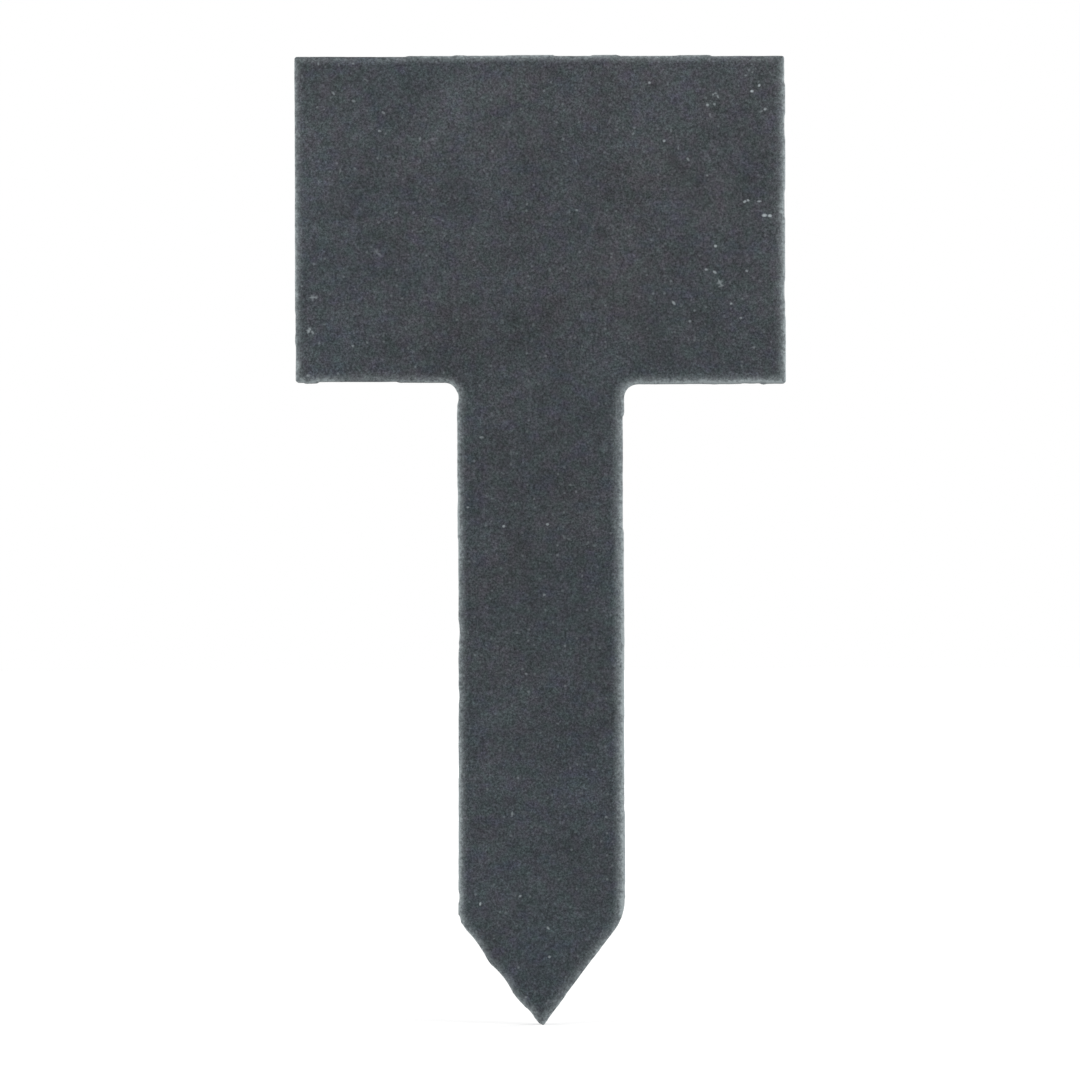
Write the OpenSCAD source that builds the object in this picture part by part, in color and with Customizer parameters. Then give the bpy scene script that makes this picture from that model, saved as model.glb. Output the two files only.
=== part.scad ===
// Slate plant label: a rectangular writing head on a straight stem that ends in a point, all cut
// from one sheet of slate, with every arris eased by hand.
// The label is drawn flat with its writing face up, and then stood as it stands in a pot:
// +Z is up, the tip of the point is at the origin and the writing face looks towards -Y.

/* [Head] */
// Width of the writing head
head_w = 75; // [60:0.5:100]
// Height of the writing head, from its left underside to its top edge
head_h = 49.8; // [35:0.1:70]
// How much lower the right underside was sawn than the left one
underside_step = 0.5; // [0:0.1:1]
// Radius left on the four outer corners of the head
corner_r = 0.4; // [0.2:0.1:1]

/* [Stem] */
// Width of the stem
stem_w = 25.2; // [20:0.1:32]
// Length of the stem, from the tip of the point to the left underside of the head
stem_l = 98.4; // [85:0.1:130]
// Radius of the left inner corner, where the stem meets the head
left_neck_r = 1.8; // [0.8:0.1:4]
// Radius of the right inner corner
right_neck_r = 2.3; // [0.8:0.1:4]

/* [Point] */
// Angle between the left slope and the middle line of the stem
left_slope_angle = 38.9; // [30:0.1:45]
// Angle between the right slope and the middle line of the stem
right_slope_angle = 37.2; // [30:0.1:45]
// Radius of the blunt tip
tip_r = 0.4; // [0.2:0.05:1]
// Radius of the left shoulder, where the stem turns into the point
left_shoulder_r = 5; // [3:0.5:10]
// Radius of the right shoulder
right_shoulder_r = 8; // [3:0.5:10]
// Number of flats that each shoulder is ground in
shoulder_flats = 5; // [2:1:8]

/* [Slab] */
// Thickness of the slate
slab_t = 4.5; // [3:0.1:8]

/* [Eased arris] */
// Width of the easing along the top edge
top_ease_w = 1.2; // [0.6:0.05:2.2]
// Width of the easing along the edges on the left
left_ease_w = 1.4; // [0.6:0.05:2.2]
// Width of the easing along the edges on the right
right_ease_w = 1.8; // [0.6:0.05:2.2]
// How far the easing runs down the sawn edge
ease_d = 0.5; // [0.3:0.05:0.8]
// How round the easing is, from 0 for a flat chamfer to 1 for one that rolls into the face
ease_roundness = 0.7; // [0.2:0.05:0.9]
// How much wider the easing is worked in the two inner corners
neck_ease_extra = 0.15; // [0.05:0.05:0.4]

/* [Dressed slope] */
// Number of shallow scallops knapped along the left slope of the point
scallop_count = 3; // [0:1:3]
// Distance from the tip to the middle of the first scallop, along the slope
scallop_first = 2.5; // [2:0.1:3]
// Distance from the middle of one scallop to the next
scallop_pitch = 7.2; // [5:0.1:7.5]
// Width of the first scallop
scallop_w = 2.4; // [1.5:0.1:3]
// How much wider each scallop is than the one below it
scallop_w_step = 2.6; // [0:0.1:3]
// Depth of the first scallop
scallop_d = 0.12; // [0.05:0.01:0.2]
// How much deeper each scallop is than the one below it
scallop_d_step = 0.15; // [0:0.01:0.2]

/* [Saw marks] */
// Length of the nub that the saw left at the left end of the underside
nub_l = 2.4; // [1:0.1:5]
// Distance from the rounding of the outer corner to the nub
nub_inset = 0.7; // [0.2:0.1:3]
// How far the nub stands proud of the underside
nub_h = 0.25; // [0.1:0.05:0.5]
// Distance from the left underside of the head down to the first nick in the stem's left edge
nick_drop = 38.7; // [20:0.1:45]
// Distance from the first nick to the second
nick_pitch = 10.1; // [5:0.1:15]
// Length of a nick along the edge
nick_l = 2.6; // [1:0.1:5]
// Depth of a nick
nick_d = 0.15; // [0.05:0.05:0.3]

/* [Edge flakes] */
// Mean distance between the small flakes broken out of the arrises
flake_spacing = 13; // [8:1:40]
// Radius of the shell-shaped hollow that a flake leaves
flake_r = 3; // [2:0.1:5]
// Depth of the deepest hollow
flake_d = 0.28; // [0.1:0.02:0.4]

/* [Hidden] */
$fn = 64;
slate = "#474b4f";

// Cutters run past the slate by this much
over = 1;
// The section of the easing runs out through the sawn edge by this much
run_out = 0.25;
// Flakes are struck off at this angle to the face
flake_tilt = 50;
// Seeds that place the flakes on the writing face and on the back
front_seed = 11;
back_seed = 42;

// The sharp apex of the two slopes lies below the rounded tip, whose lowest point is at zero
point_angle = left_slope_angle + right_slope_angle;
lean = (left_slope_angle - right_slope_angle) / 2;
apex_y = tip_r - tip_r / sin(point_angle / 2) * cos(lean);
// Levels where the slopes would meet the sides of the stem
left_shoulder_y = apex_y + stem_w / 2 / tan(left_slope_angle);
right_shoulder_y = apex_y + stem_w / 2 / tan(right_slope_angle);
left_under_y = stem_l;
right_under_y = stem_l - underside_step;
top_y = stem_l + head_h;

// Corners of the outline before they are rounded
apex = [0, apex_y];
left_shoulder = [-stem_w / 2, left_shoulder_y];
left_neck = [-stem_w / 2, left_under_y];
low_left = [-head_w / 2, left_under_y];
top_left = [-head_w / 2, top_y];
top_right = [head_w / 2, top_y];
low_right = [head_w / 2, right_under_y];
right_neck = [stem_w / 2, right_under_y];
right_shoulder = [stem_w / 2, right_shoulder_y];

// Headings round the outline, clockwise, with the slate on the right hand
UP = 90;
DOWN = -90;
LEFT = 180;
RIGHT = 0;
LEFT_SLOPE = 90 + left_slope_angle;
RIGHT_SLOPE = -90 - right_slope_angle;

function along(heading) = [cos(heading), sin(heading)];
function inward(heading) = along(heading - 90);
// Distance from a corner to where a radius leaves its sides, when the outline turns by some angle
function gap(r, turn) = r * tan(turn / 2);

// Points of a shoulder that is ground in flats, from one heading to the next
function shoulder_points(corner, heading_in, turn, r) = [
    let (centre = corner - gap(r, turn) * along(heading_in) + r * inward(heading_in))
    for (k = [0:1:shoulder_flats])
        centre - r * inward(heading_in - k * turn / shoulder_flats)
];
left_flats = shoulder_points(left_shoulder, LEFT_SLOPE, left_slope_angle, left_shoulder_r);
right_flats = shoulder_points(right_shoulder, DOWN, right_slope_angle, right_shoulder_r);

// Ends of the radius in each inner corner, on the side of the stem and under the head
left_neck_side = left_neck + left_neck_r * along(DOWN);
left_neck_under = left_neck + left_neck_r * along(LEFT);
right_neck_side = right_neck + right_neck_r * along(DOWN);
right_neck_under = right_neck + right_neck_r * along(RIGHT);
left_neck_centre = [left_neck_under[0], left_neck_side[1]];
right_neck_centre = [right_neck_under[0], right_neck_side[1]];

// Nub at the left end of the underside, from its inner end to its outer one
nub_start = low_left + (corner_r + nub_inset) * along(RIGHT);
nub_points = [
    nub_start + nub_l * along(RIGHT),
    nub_start + (nub_l - nub_h) * along(RIGHT) + nub_h * along(DOWN),
    nub_start + nub_h * along(RIGHT) + nub_h * along(DOWN),
    nub_start,
];

// Straight runs of the outline, clockwise: from, to, width of the easing, and whether the run stops
// in an inner corner at its start and at its end
function flat_runs(points, w) = [
    for (k = [0:1:len(points) - 2]) [points[k], points[k + 1], w, false, false]
];
RUNS = concat(
    [[apex, left_flats[0], left_ease_w, false, false]],
    flat_runs(left_flats, left_ease_w),
    [
        [left_flats[shoulder_flats], left_neck_side, left_ease_w, false, true],
        [left_neck_under, low_left, left_ease_w, true, false],
        [low_left, top_left, left_ease_w, false, false],
        [top_left, top_right, top_ease_w, false, false],
        [top_right, low_right, right_ease_w, false, false],
        [low_right, right_neck_under, right_ease_w, false, true],
        [right_neck_side, right_flats[0], right_ease_w, true, false],
    ],
    flat_runs(right_flats, right_ease_w),
    [[right_flats[shoulder_flats], apex, right_ease_w, false, false]]
);
function heading(run) = atan2(run[1][1] - run[0][1], run[1][0] - run[0][0]);
function length(run) = norm(run[1] - run[0]);

// What a rounding takes off a corner, where the outline comes in on one heading and turns right
module corner_waste(corner, heading_in, turn, r) {
    from = corner - gap(r, turn) * along(heading_in);
    to = corner + gap(r, turn) * along(heading_in - turn);
    centre = from + r * inward(heading_in);
    reach = 1 + over / r;
    difference() {
        polygon([
            centre,
            centre + reach * (from - centre),
            centre + reach * (corner - centre),
            centre + reach * (to - centre),
        ]);
        translate(centre) circle(r = r);
    }
}

// The outline as sawn and dressed: its radii, its nub, its scallops and its nicks
module outline() {
    difference() {
        polygon(concat(
            [apex],
            left_flats,
            [left_neck_side, left_neck_centre, left_neck_under],
            nub_points,
            [low_left, top_left, top_right, low_right],
            [right_neck_under, right_neck_centre, right_neck_side],
            right_flats
        ));
        translate(left_neck_centre) circle(r = left_neck_r);
        translate(right_neck_centre) circle(r = right_neck_r);
        corner_waste(apex, RIGHT_SLOPE, 180 - point_angle, tip_r);
        corner_waste(low_left, LEFT, 90, corner_r);
        corner_waste(top_left, UP, 90, corner_r);
        corner_waste(top_right, RIGHT, 90, corner_r);
        corner_waste(low_right, DOWN, 90, corner_r);
        scallops();
        nicks();
    }
}

// A shallow hollow right through an edge: a disc of the radius that gives this width and depth
module edge_hollow(middle, heading, w, d) {
    r = w * w / (8 * d) + d / 2;
    translate(middle - (r - d) * inward(heading)) circle(r = r);
}

module scallops() {
    for (i = [0:1:scallop_count - 1])
        edge_hollow(
            apex + (scallop_first + i * scallop_pitch) * along(LEFT_SLOPE),
            LEFT_SLOPE, scallop_w + i * scallop_w_step, scallop_d + i * scallop_d_step
        );
}

module nicks() {
    for (i = [0, 1])
        edge_hollow(
            left_neck + (nick_drop + i * nick_pitch) * along(DOWN),
            UP, nick_l, nick_d
        );
}

// Section of what the easing takes off: x runs inward from the edge, y down from the face.
// The arc starts at the crease on the face and leaves through the sawn edge.
module ease_section(w, d) {
    chord_angle = atan(d / w);
    crease = chord_angle * (1 - ease_roundness);
    r = norm([w, d]) / (2 * sin(chord_angle - crease));
    centre = [w + r * sin(crease), r * cos(crease)];
    bottom = centre[1] - sqrt(r * r - pow(centre[0] + run_out, 2));
    difference() {
        translate([-run_out, -over]) square([centre[0] + run_out, bottom + over]);
        translate(centre) circle(r = r);
    }
}

module ease_run(run) {
    before = run[3] ? 0 : over;
    after = run[4] ? 0 : over;
    start = run[0] - before * along(heading(run));
    translate([start[0], start[1], slab_t / 2])
        rotate([0, 0, heading(run) - 90])
            rotate([-90, 0, 0])
                linear_extrude(height = length(run) + before + after)
                    ease_section(run[2], ease_d);
}

// An inner corner is worked a little deeper than its sides, so its easing runs out into theirs
module ease_neck(centre, r, w) {
    translate([centre[0], centre[1], slab_t / 2])
        rotate_extrude()
            translate([r, 0])
                mirror([0, 1])
                    ease_section(w + neck_ease_extra, ease_d + neck_ease_extra / 2);
}

// Everything that the easing takes off round the upper face
module easing() {
    for (run = RUNS) ease_run(run);
    ease_neck(left_neck_centre, left_neck_r, left_ease_w);
    ease_neck(right_neck_centre, right_neck_r, right_ease_w);
}

// One shell-shaped hollow in the eased arris, where a flake has come away
module flake(run, at, size, depth) {
    r = flake_r * size;
    lift = r - flake_d * depth;
    inboard = run[2] / 3 - lift * cos(flake_tilt);
    place = run[0] + at * along(heading(run)) + inboard * inward(heading(run));
    translate([place[0], place[1], slab_t / 2 - ease_d / 3 + lift * sin(flake_tilt)])
        sphere(r = r);
}

// Flakes along every run of the outline, at uneven distances that a seed fixes
module flakes(seed) {
    for (i = [0:1:len(RUNS) - 1]) {
        run = RUNS[i];
        count = floor(length(run) / flake_spacing);
        pitch = length(run) / max(count, 1);
        shift = rands(-0.35, 0.35, count + 1, seed + i);
        size = rands(0.7, 1.5, count + 1, seed + i + 100);
        depth = rands(0.45, 1, count + 1, seed + i + 200);
        for (k = [0:1:count - 1]) flake(run, (k + 0.5 + shift[k]) * pitch, size[k], depth[k]);
    }
}

// The label flat on the bench, writing face up, its middle plane at zero
module flat_label() {
    difference() {
        difference() {
            linear_extrude(height = slab_t, center = true) outline();
            easing();
            mirror([0, 0, 1]) easing();
        }
        flakes(front_seed);
        mirror([0, 0, 1]) flakes(back_seed);
    }
}

module slate_label() {
    color(slate) rotate([90, 0, 0]) flat_label();
}

slate_label();
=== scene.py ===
"""A slate plant label: one slab, split thin, sawn to a T and eased by hand, on a plain white stage."""

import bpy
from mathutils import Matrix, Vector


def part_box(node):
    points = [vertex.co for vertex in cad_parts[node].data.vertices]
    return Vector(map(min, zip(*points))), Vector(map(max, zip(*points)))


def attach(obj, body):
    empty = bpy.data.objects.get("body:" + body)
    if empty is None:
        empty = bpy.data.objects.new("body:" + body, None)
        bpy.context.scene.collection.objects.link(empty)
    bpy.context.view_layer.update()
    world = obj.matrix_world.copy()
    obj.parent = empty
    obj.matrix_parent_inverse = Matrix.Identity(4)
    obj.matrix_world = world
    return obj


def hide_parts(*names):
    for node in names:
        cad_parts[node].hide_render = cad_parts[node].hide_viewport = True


bl_info = {
    "name": "Slate Plant Label",
    "version": (1, 0, 0),
    "blender": (4, 5, 0),
    "location": "3D View > Sidebar > Plant Label",
    "description": "Makes a hand-finished slate plant label and the stage that it is shown on",
    "category": "Add Mesh",
}

import math
import random

import bpy
import numpy as np
from bpy.props import FloatProperty, FloatVectorProperty, IntProperty, PointerProperty
from mathutils import Vector, noise
from mathutils.geometry import delaunay_2d_cdt
from mathutils.kdtree import KDTree

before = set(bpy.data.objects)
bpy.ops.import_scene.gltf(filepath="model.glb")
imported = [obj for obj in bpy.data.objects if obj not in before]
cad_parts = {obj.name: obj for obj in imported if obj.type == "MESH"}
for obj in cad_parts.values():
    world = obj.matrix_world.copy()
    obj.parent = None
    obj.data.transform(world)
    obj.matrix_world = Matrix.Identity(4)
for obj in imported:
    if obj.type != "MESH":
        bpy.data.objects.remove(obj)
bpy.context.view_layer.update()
LOW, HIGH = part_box("slate_label")

MM = 0.001
FRONT = -1
BACK = 1

# Runs of the outline, clockwise from the tip as the writing face is seen
RUNS = (
    "left_slope",
    "left_stem",
    "left_under",
    "left_edge",
    "top_edge",
    "right_edge",
    "right_under",
    "right_stem",
    "right_slope",
)

# How pale the easing is at places along each run, partly rubbed slate and partly painted highlight
# where the arris catches the light: millimetres along it, how much paler the arris itself is, and
# how pale the whole width of the easing is
RUBBED_AND_HIGHLIGHT = {
    "left_slope": (
        (0, 0.60, 0.40), (4, 0.55, 0.40), (8, 0.45, 0.32), (13, 0.35, 0.22), (17, 0.60, 0.36),
    ),
    "left_stem": (
        (0, 1.05, 0.38), (5, 1.20, 0.37), (18, 1.30, 0.37), (24, 1.00, 0.36), (29, 0.62, 0.31),
        (36, 0.55, 0.30), (47, 0.55, 0.28), (56, 0.90, 0.31), (61, 1.60, 0.36), (66, 0.80, 0.38),
        (71, 0.50, 0.35), (79, 0.50, 0.36),
    ),
    "left_under": (
        (0, 0.85, 0.33), (5, 0.48, 0.36), (10, 0.32, 0.34), (17, 0.10, 0.28), (20, 0.95, 0.36),
        (25, 1.20, 0.40),
    ),
    "left_edge": (
        (0, 0.80, 0.24), (7, 0.48, 0.20), (12, 0.64, 0.20), (17, 0.98, 0.24), (23, 0.85, 0.27),
        (27, 0.62, 0.23), (37, 0.60, 0.21), (42, 0.48, 0.18), (50, 0.62, 0.20),
    ),
    "top_edge": (
        (0, 0.00, 0.38), (5, -0.40, 0.36), (12, -0.45, 0.32), (17, 0.10, 0.32), (22, 0.40, 0.32),
        (28, 0.55, 0.37), (38, 0.60, 0.35), (42, 0.10, 0.27), (46, 0.55, 0.31), (51, 0.25, 0.33),
        (56, 0.42, 0.31), (61, 0.48, 0.30), (66, 0.05, 0.22), (75, 0.05, 0.20),
    ),
    "right_edge": (
        (0, 0.90, 0.09), (3, 0.90, 0.09), (7, 0.97, 0.17), (12, 0.88, 0.17), (17, 1.06, 0.19),
        (27, 1.15, 0.18), (37, 1.08, 0.14), (42, 1.00, 0.18), (50, 0.98, 0.14),
    ),
    "right_under": (
        (0, 1.90, 0.18), (5, 1.75, 0.16), (12, 1.50, 0.22), (17, 1.20, 0.18), (25, 1.00, 0.24),
    ),
    "right_stem": (
        (0, 0.50, 0.48), (7, 0.34, 0.40), (12, 0.34, 0.38), (17, 0.48, 0.40), (22, 0.80, 0.47),
        (32, 0.74, 0.48), (37, 0.84, 0.53), (42, 0.96, 0.53), (52, 1.04, 0.50), (57, 1.15, 0.54),
        (61, 0.85, 0.47), (66, 0.98, 0.54), (82, 1.10, 0.53),
    ),
    "right_slope": ((0, 0.46, 0.26), (7, 0.38, 0.25), (14, 0.42, 0.26), (21, 0.45, 0.28)),
}

# Ledges that the saw left along each run, in millimetres: where the ledge ends, and how far it is
# set back from the straight line. A ledge below zero stands proud of that line.
LEDGES = {
    "left_slope": (
        (0.55, 0.06), (1.9, -0.14), (3.7, -0.13), (4.7, -0.22), (7.0, -0.32), (13.0, -0.20),
        (20.1, -0.12),
    ),
    "left_stem": (
        (1.5, 0.04), (3.5, -0.22), (4.9, -0.06), (6.8, -0.21), (22.5, -0.16), (33.0, -0.12),
        (41.0, -0.09), (58.9, -0.06), (78.5, -0.16), (84.0, -0.12),
    ),
    "left_under": ((9.2, -0.20), (21.5, -0.03), (23.6, -0.26), (25.0, -0.11)),
    "left_edge": ((5.7, 0.10), (7.2, 0.02), (10.5, 0.10), (16.0, 0.0), (50.0, 0.03)),
    "top_edge": (
        (2.0, 0.19), (12.5, 0.22), (17.2, 0.24), (24.4, 0.10), (26.1, 0.0), (32.4, 0.08),
        (39.7, 0.0), (45.5, 0.16), (49.5, 0.03), (58.5, 0.19), (63.6, 0.09), (75.0, 0.24),
    ),
    "right_edge": (
        (4.5, 0.12), (9.3, 0.0), (12.6, 0.11), (20.8, 0.02), (25.0, 0.14), (34.5, 0.06),
        (37.6, 0.18), (40.0, 0.09), (51.0, 0.02),
    ),
    "right_under": (
        (3.0, 0.01), (3.7, -0.10), (4.6, 0.09), (5.8, 0.06), (6.8, 0.10), (10.5, 0.01),
        (11.5, -0.04), (25.0, 0.0),
    ),
    "right_stem": (
        (4.8, -0.17), (13.4, 0.06), (22.3, 0.10), (33.0, -0.05), (40.0, -0.08), (65.3, -0.03),
        (78.6, -0.11), (82.0, 0.0),
    ),
    "right_slope": ((8.0, 0.05), (15.0, 0.08), (19.6, 0.01), (21.0, -0.04)),
}

# Hollows right through an edge, in millimetres: run, middle along the run, width, depth
HOLLOWS = (
    ("left_slope", 2.8, 1.8, 0.08),
    ("left_slope", 9.7, 5.0, 0.27),
    ("left_slope", 17.0, 7.4, 0.41),
    ("left_stem", 34.8, 2.2, 0.11),
    ("left_stem", 42.4, 1.2, 0.10),
    ("left_stem", 44.6, 3.8, 0.17),
    ("left_stem", 65.6, 3.2, 0.09),
    ("left_stem", 80.6, 2.4, 0.18),
    ("right_stem", 77.3, 2.4, 0.07),
)

# Pale flecks chipped out of the writing face, in millimetres: across from the middle line, up from
# the tip, length, width, tilt in degrees, and how pale
FLECKS = (
    (34.25, 123.57, 0.98, 0.61, 0, 0.92),
    (35.10, 123.51, 0.78, 0.61, 0, 0.92),
    (31.27, 125.67, 0.72, 0.47, 30, 0.77),
    (31.77, 125.87, 0.59, 0.42, -30, 0.64),
    (33.46, 125.71, 0.91, 0.42, 5, 0.55),
    (32.41, 142.53, 0.65, 0.51, 0, 0.87),
    (33.51, 143.42, 0.65, 0.51, 60, 0.77),
    (34.40, 139.78, 0.72, 0.54, 20, 0.51),
    (25.62, 140.45, 0.59, 0.51, 0, 0.55),
    (26.67, 140.55, 0.55, 0.47, 0, 0.41),
    (16.76, 143.87, 0.59, 0.51, 0, 0.46),
    (18.97, 134.99, 0.55, 0.51, 0, 0.60),
    (22.61, 132.18, 0.78, 0.47, -60, 0.41),
    (14.24, 136.10, 0.78, 0.42, 50, 0.30),
    (26.76, 118.90, 0.65, 0.57, 0, 0.77),
    (25.35, 115.31, 0.65, 0.47, 0, 0.51),
    (26.65, 114.91, 0.78, 0.51, -40, 0.64),
    (27.48, 113.22, 1.86, 0.40, -62, 0.48),
    (20.35, 110.24, 1.04, 0.54, -50, 0.55),
    (29.12, 110.12, 0.59, 0.47, 0, 0.55),
    (22.83, 107.44, 0.59, 0.47, 0, 0.37),
    (30.61, 107.92, 0.55, 0.47, 0, 0.39),
    (31.53, 115.10, 0.55, 0.46, 0, 0.37),
    (32.60, 103.42, 0.59, 0.47, 0, 0.32),
    (5.62, 124.45, 0.55, 0.46, 0, 0.32),
    (-34.62, 111.25, 1.95, 0.38, 4, 0.41),
    (-35.32, 106.17, 1.30, 0.56, 60, 0.60),
    (-34.83, 105.92, 0.78, 0.47, -55, 0.46),
    (-28.65, 103.80, 0.55, 0.46, 0, 0.34),
    (-35.45, 99.34, 0.72, 0.54, 20, 0.42),
    (-24.82, 118.06, 2.47, 0.38, -50, 0.19),
    (-31.53, 142.42, 1.04, 0.46, -45, 0.31),
    (-28.44, 141.21, 0.91, 0.46, -20, 0.29),
    (-23.86, 139.40, 0.78, 0.46, -30, 0.34),
    (-24.47, 136.61, 0.65, 0.51, 0, 0.38),
    (-22.01, 124.13, 0.78, 0.42, 10, 0.21),
    (-5.69, 76.20, 0.62, 0.54, 0, 0.64),
    (0.99, 76.48, 0.62, 0.54, 0, 0.55),
    (-11.17, 79.11, 0.55, 0.46, 0, 0.39),
    (-9.04, 89.78, 0.98, 0.46, 0, 0.37),
    (0.46, 65.71, 0.55, 0.46, 0, 0.37),
    (-2.37, 53.65, 0.55, 0.43, 0, 0.32),
    (-4.53, 32.30, 1.17, 0.42, 85, 0.39),
    (9.84, 31.76, 0.55, 0.46, 0, 0.32),
    (-9.46, 18.55, 0.78, 0.42, 80, 0.77),
    (-3.37, 19.73, 0.65, 0.46, 30, 0.48),
    (0.91, 14.83, 0.78, 0.46, -50, 0.51),
    (1.09, 10.44, 0.62, 0.49, 0, 0.51),
    (-2.52, 4.27, 0.55, 0.46, 0, 0.37),
    (26.49, 142.05, 0.60, 0.40, 45, 0.37),
    (26.85, 142.22, 0.60, 0.38, -10, 0.34),
    (27.20, 141.74, 0.80, 0.40, -62, 0.39),
    (25.96, 138.92, 0.75, 0.38, 90, 0.26),
    (20.04, 136.60, 0.90, 0.38, 90, 0.23),
    (21.13, 133.87, 0.90, 0.38, 90, 0.23),
    (25.53, 129.70, 0.50, 0.40, 0, 0.29),
    (33.87, 139.46, 0.55, 0.38, 30, 0.29),
    (31.43, 144.92, 0.55, 0.40, 0, 0.28),
    (31.95, 145.73, 0.50, 0.38, 60, 0.25),
    (32.51, 145.45, 0.48, 0.36, 0, 0.23),
    (-33.80, 146.89, 0.75, 0.38, 90, 0.29),
    (-30.68, 146.73, 0.75, 0.38, 90, 0.27),
    (-28.47, 146.92, 0.52, 0.42, 0, 0.34),
    (-26.52, 144.41, 1.10, 0.36, -30, 0.19),
    (-36.29, 144.96, 0.85, 0.36, 90, 0.18),
    (-36.78, 140.36, 0.80, 0.50, 0, 0.24),
    (-33.96, 140.28, 0.50, 0.42, 0, 0.24),
    (-32.96, 139.94, 0.50, 0.42, 0, 0.19),
    (-23.62, 136.21, 0.60, 0.42, 0, 0.18),
    (-18.32, 135.42, 0.95, 0.38, 90, 0.23),
    (-30.55, 130.51, 0.85, 0.38, 80, 0.23),
    (-33.78, 128.84, 0.85, 0.38, 90, 0.20),
)

# Slow patches of the writing face, in millimetres: across from the middle line, up from the tip,
# length, width, tilt in degrees, and how much lighter or darker than the slate round them
PATCHES = (
    (-12.8, 139.5, 13.0, 9.0, 60, 0.30),
    (-10.1, 144.4, 7.0, 5.0, 0, 0.14),
    (-7.9, 134.1, 6.0, 5.0, 0, 0.11),
    (-34.0, 130.4, 11.0, 6.0, 80, 0.27),
    (-32.0, 139.4, 20.0, 16.0, 0, 0.16),
    (-34.1, 119.5, 9.0, 5.0, 90, 0.14),
    (-32.1, 104.0, 14.0, 12.0, 0, 0.14),
    (-0.6, 142.8, 40.0, 12.0, 0, 0.06),
    (24.3, 141.3, 34.0, 16.0, 0, 0.11),
    (21.7, 130.8, 11.0, 1.7, -45, -0.13),
    (8.7, 143.1, 5.0, 1.3, -45, -0.10),
    (10.9, 126.2, 8.0, 1.7, -45, -0.11),
    (18.7, 119.1, 10.0, 2.0, -42, -0.10),
    (9.1, 121.0, 2.2, 2.0, 0, -0.27),
    (-4.0, 108.0, 2.6, 2.2, 0, -0.30),
    (-4.0, 104.3, 2.0, 1.6, 0, -0.17),
    (-3.1, 72.9, 3.2, 2.4, 90, -0.25),
    (-1.3, 66.0, 5.0, 3.0, 80, -0.09),
    (30.2, 103.8, 20.0, 14.0, 0, -0.08),
    (0.3, 103.9, 22.0, 16.0, 90, -0.08),
    (1.2, 70.0, 36.0, 14.0, 90, -0.06),
    (-6.9, 40.1, 46.0, 6.0, 90, 0.06),
    (0.5, 6.2, 8.0, 8.0, 0, 0.08),
    (0.1, 48.1, 120.0, 60.0, 90, -0.033),
    (-0.8, 0.9, 2.0, 0.9, -50, -0.46),
    (-30.5, 121.5, 9.0, 5.0, 90, 0.11),
    (-29.3, 121.8, 3.0, 2.0, 0, 0.14),
    (12.8, 116.1, 3.4, 2.6, 0, -0.10),
)

# Where the writing face is warmer or cooler than the slate round it, in the same terms
WARM_PATCHES = (
    (14.0, 124.0, 60.0, 44.0, 30, 0.62),
    (-33.0, 117.0, 50.0, 16.0, 90, -0.40),
    (20.0, 100.0, 40.0, 8.0, 0, -0.35),
    (0.0, 12.0, 70.0, 30.0, 90, -0.75),
    (-12.0, 55.0, 80.0, 6.0, 90, -0.30),
    (12.5, 60.0, 90.0, 5.0, 90, -0.45),
)

# Flakes struck off the front arris, in millimetres: run, middle along the run, radius, depth
FRONT_FLAKES = (
    ("left_edge", 2.6, 2.2, 0.30),
    ("left_edge", 13.2, 1.8, 0.20),
    ("left_edge", 42.0, 2.0, 0.14),
    ("right_edge", 23.4, 2.2, 0.26),
    ("right_edge", 41.5, 1.9, 0.14),
    ("top_edge", 6.5, 2.4, 0.12),
    ("top_edge", 66.0, 2.1, 0.12),
    ("left_stem", 77.0, 2.0, 0.16),
    ("left_stem", 21.0, 2.2, 0.14),
    ("right_stem", 30.5, 2.4, 0.18),
    ("right_stem", 69.0, 2.2, 0.15),
    ("left_slope", 13.3, 1.8, 0.14),
    ("right_slope", 6.2, 2.0, 0.14),
)

# Easing: rings of the mesh across it, as shares of its width
RING_SHARES = (0.02, 0.06, 0.13, 0.23, 0.36, 0.51, 0.68, 0.87, 1.08, 1.34)

# Where the seeded marks of the back may lie, in millimetres: from and to across, from and to above
# the tip, first on the head and then on the stem
FLECK_FIELDS = (((-35, 35), (101, 146)), ((-10, 10), (16, 98)))
PATCH_FIELDS = (((-36, 36), (99, 147)), ((-12, 12), (8, 99)))

# Tints that the colour of the slate drifts between
COOL_TINT = (0.94, 1.005, 1.025)
WARM_TINT = (1.06, 0.995, 0.975)
VIOLET_TINT = (1.065, 0.966, 1.026)
GREEN_TINT = (0.935, 1.034, 0.974)
BLUE_TINT = (0.975, 0.945, 1.12)

# Softboxes: name, azimuth and elevation in degrees, and how bright each makes a plain white wall
SOFTBOXES = (
    ("right_softbox", 60, 24, 0.62),
    ("left_softbox", -60, 24, 0.50),
    ("back_right_softbox", 128, 20, 0.50),
    ("back_left_softbox", -128, 20, 0.40),
)


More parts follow.
